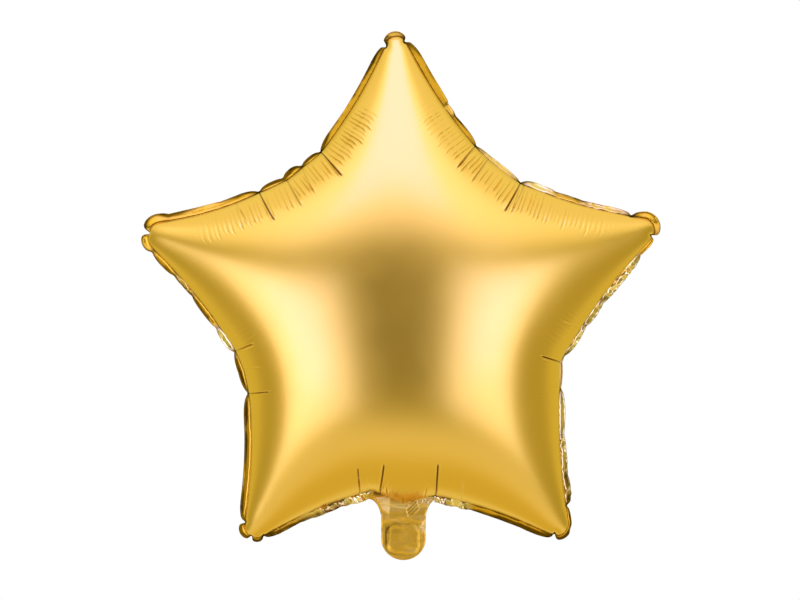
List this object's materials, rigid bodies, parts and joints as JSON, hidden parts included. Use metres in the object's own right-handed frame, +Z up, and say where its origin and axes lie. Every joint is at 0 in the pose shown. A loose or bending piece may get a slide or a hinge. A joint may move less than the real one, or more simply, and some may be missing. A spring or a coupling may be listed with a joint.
{
  "type": "star foil balloon",
  "caption": "Inflated five-pointed star balloon of satin gold foil, with a crinkled welded border, gathered valleys and a flat filling tail to tie a ribbon round.",
  "frame": {"origin": "where a ribbon ties round the tail, in the middle of the foil, just above the valve", "axes": "+Z up towards the top point, +Y from the front of the star to its back, +X to the right seen from the front"},
  "size_m": [0.4518, 0.161, 0.4593],
  "materials": {
    "gold_foil": "satin metallised plastic film, not solid metal"
  },
  "bodies": {
    "root": {"star_balloon": "gold_foil"}
  },
  "joints": []
}
